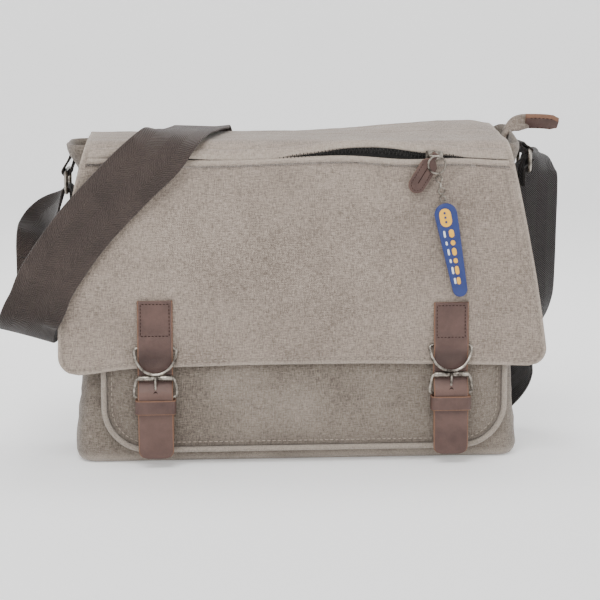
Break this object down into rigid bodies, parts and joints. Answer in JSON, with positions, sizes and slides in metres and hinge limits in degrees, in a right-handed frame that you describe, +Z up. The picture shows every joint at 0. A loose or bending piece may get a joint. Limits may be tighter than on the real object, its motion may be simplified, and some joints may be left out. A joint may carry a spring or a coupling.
{
  "type": "messenger bag",
  "caption": "Canvas messenger bag with a full flap, buckled leather closures, a zipped flap pocket, a front pocket and a webbing shoulder strap.",
  "frame": {"origin": "middle of the bag's bottom face, on the surface that it stands on", "axes": "+Z up, front towards -Y, +X to the right as seen from the front"},
  "size_m": [0.5087, 0.1654, 0.3089],
  "materials": {
    "canvas": "washed cotton canvas, matt",
    "lining": "plain woven lining",
    "leather": "smooth, tan raw edges",
    "webbing": "ribbed webbing",
    "metal": "antique silver",
    "zip": "black tape and coil",
    "rubber": "matt blue with a raised pattern"
  },
  "bodies": {
    "bag": {"front_panel": "canvas", "back_panel": "canvas", "base_panel": "canvas", "gusset_left": "canvas", "gusset_right": "canvas", "lining": "lining", "laptop_divider": "lining", "pocket_panel": "canvas", "pocket_piping": "canvas", "snap_socket_left": "metal", "snap_socket_right": "metal", "side_tab_left": "webbing", "side_tab_right": "webbing", "strap_left_end": "webbing", "strap_front": "webbing", "strap_back": "webbing", "strap_right_end": "webbing", "zip_tail": "canvas", "zip_tail_tab": "leather"},
    "flap_top": {"flap_top": "canvas"},
    "flap_front": {"flap_front": "canvas", "flap_lining": "lining", "flap_zip_tape": "zip", "flap_zip_chain": "zip", "flap_tab_left": "leather", "flap_tab_right": "leather"},
    "flap_zip_slider": {"flap_zip_slider": "metal"},
    "flap_zip_pull": {"flap_zip_pull": "leather"},
    "key_ring": {"key_ring": "metal", "charm_chain": "metal"},
    "charm": {"charm_link": "metal", "charm_tag": "rubber"},
    "zip_tape_front": {"zip_tape_front": "canvas"},
    "zip_tape_back": {"zip_tape_back": "canvas"},
    "top_zip_slider": {"top_zip_slider": "metal"},
    "top_zip_pull": {"top_zip_pull": "leather"},
    "closure_left": {"closure_strap_left": "leather", "closure_backing_left": "leather", "keeper_left": "leather", "buckle_frame_left": "metal", "snap_stud_left": "metal"},
    "d_ring_left": {"d_ring_left": "metal"},
    "buckle_prong_left": {"buckle_prong_left": "metal"},
    "side_ring_left": {"side_ring_left": "metal"},
    "closure_right": {"closure_strap_right": "leather", "closure_backing_right": "leather", "keeper_right": "leather", "buckle_frame_right": "metal", "snap_stud_right": "metal"},
    "d_ring_right": {"d_ring_right": "metal"},
    "buckle_prong_right": {"buckle_prong_right": "metal"},
    "side_ring_right": {"side_ring_right": "metal"}
  },
  "joints": [
    {"name": "flap_hinge", "type": "hinge", "parent": "bag", "child": "flap_top", "pos_m": [0, 0.051, 0.2915], "axis": [-1, 0, 0], "range_deg": [0, 165], "deforming": ["strap_front"]},
    {"name": "flap_fold", "type": "hinge", "parent": "flap_top", "child": "flap_front", "pos_m": [0, -0.0445, 0.2892], "axis": [-1, 0, 0], "range_deg": [0, 84]},
    {"name": "flap_zip", "type": "slide", "parent": "flap_front", "child": "flap_zip_slider", "axis": [-1, 0, 0], "range_m": [-0.03, 0.19]},
    {"name": "flap_zip_pull", "type": "hinge", "parent": "flap_zip_slider", "child": "flap_zip_pull", "pos_m": [0.115, -0.06829, 0.27518], "axis": [-0.8525, 0, 0.5227], "range_deg": [0, 10]},
    {"name": "key_ring", "type": "hinge", "parent": "flap_zip_slider", "child": "key_ring", "pos_m": [0.115, -0.07049, 0.27518], "axis": [0, 1, 0], "range_deg": [-15, 15]},
    {"name": "charm", "type": "hinge", "parent": "key_ring", "child": "charm", "pos_m": [0.1216, -0.07389, 0.24118], "axis": [0, 1, 0], "range_deg": [-14, 14]},
    {"name": "top_zip", "type": "slide", "parent": "bag", "child": "top_zip_slider", "axis": [1, 0, 0], "range_m": [0, 0.33]},
    {"name": "top_zip_pull", "type": "hinge", "parent": "top_zip_slider", "child": "top_zip_pull", "pos_m": [-0.176, 0, 0.275], "axis": [0, -1, 0], "range_deg": [0, 15]},
    {"name": "zip_tape_front", "type": "hinge", "parent": "bag", "child": "zip_tape_front", "pos_m": [0, -0.0454, 0.2675], "axis": [-1, 0, 0], "range_deg": [0, 75]},
    {"name": "zip_tape_back", "type": "hinge", "parent": "bag", "child": "zip_tape_back", "pos_m": [0, 0.0454, 0.2675], "axis": [1, 0, 0], "range_deg": [0, 75]},
    {"name": "closure_left", "type": "hinge", "parent": "flap_front", "child": "closure_left", "pos_m": [-0.13, -0.0713, 0.108], "axis": [-1, 0, 0], "range_deg": [0, 70]},
    {"name": "d_ring_left", "type": "hinge", "parent": "closure_left", "child": "d_ring_left", "pos_m": [-0.13, -0.0687, 0.108], "axis": [-1, 0, 0], "range_deg": [0, 50]},
    {"name": "buckle_prong_left", "type": "hinge", "parent": "closure_left", "child": "buckle_prong_left", "pos_m": [-0.13, -0.0734, 0.0655], "axis": [1, 0, 0], "range_deg": [0, 40]},
    {"name": "closure_right", "type": "hinge", "parent": "flap_front", "child": "closure_right", "pos_m": [0.131, -0.0713, 0.108], "axis": [-1, 0, 0], "range_deg": [0, 70]},
    {"name": "d_ring_right", "type": "hinge", "parent": "closure_right", "child": "d_ring_right", "pos_m": [0.131, -0.0687, 0.108], "axis": [-1, 0, 0], "range_deg": [0, 50]},
    {"name": "buckle_prong_right", "type": "hinge", "parent": "closure_right", "child": "buckle_prong_right", "pos_m": [0.131, -0.0734, 0.0655], "axis": [1, 0, 0], "range_deg": [0, 40]},
    {"name": "side_ring_left", "type": "hinge", "parent": "bag", "child": "side_ring_left", "pos_m": [-0.207, 0, 0.259], "axis": [0, 1, 0], "range_deg": [-8, 35], "deforming": ["strap_left_end"]},
    {"name": "side_ring_right", "type": "hinge", "parent": "bag", "child": "side_ring_right", "pos_m": [0.207, 0, 0.276], "axis": [0, -1, 0], "range_deg": [-8, 35], "deforming": ["strap_right_end"]}
  ],
  "couplings": [
    {"joint": "flap_fold", "follows": "flap_hinge", "ratio": 0.5},
    {"joint": "zip_tape_front", "follows": "top_zip", "rad_per_m": 3.85},
    {"joint": "zip_tape_back", "follows": "top_zip", "rad_per_m": 3.85}
  ]
}
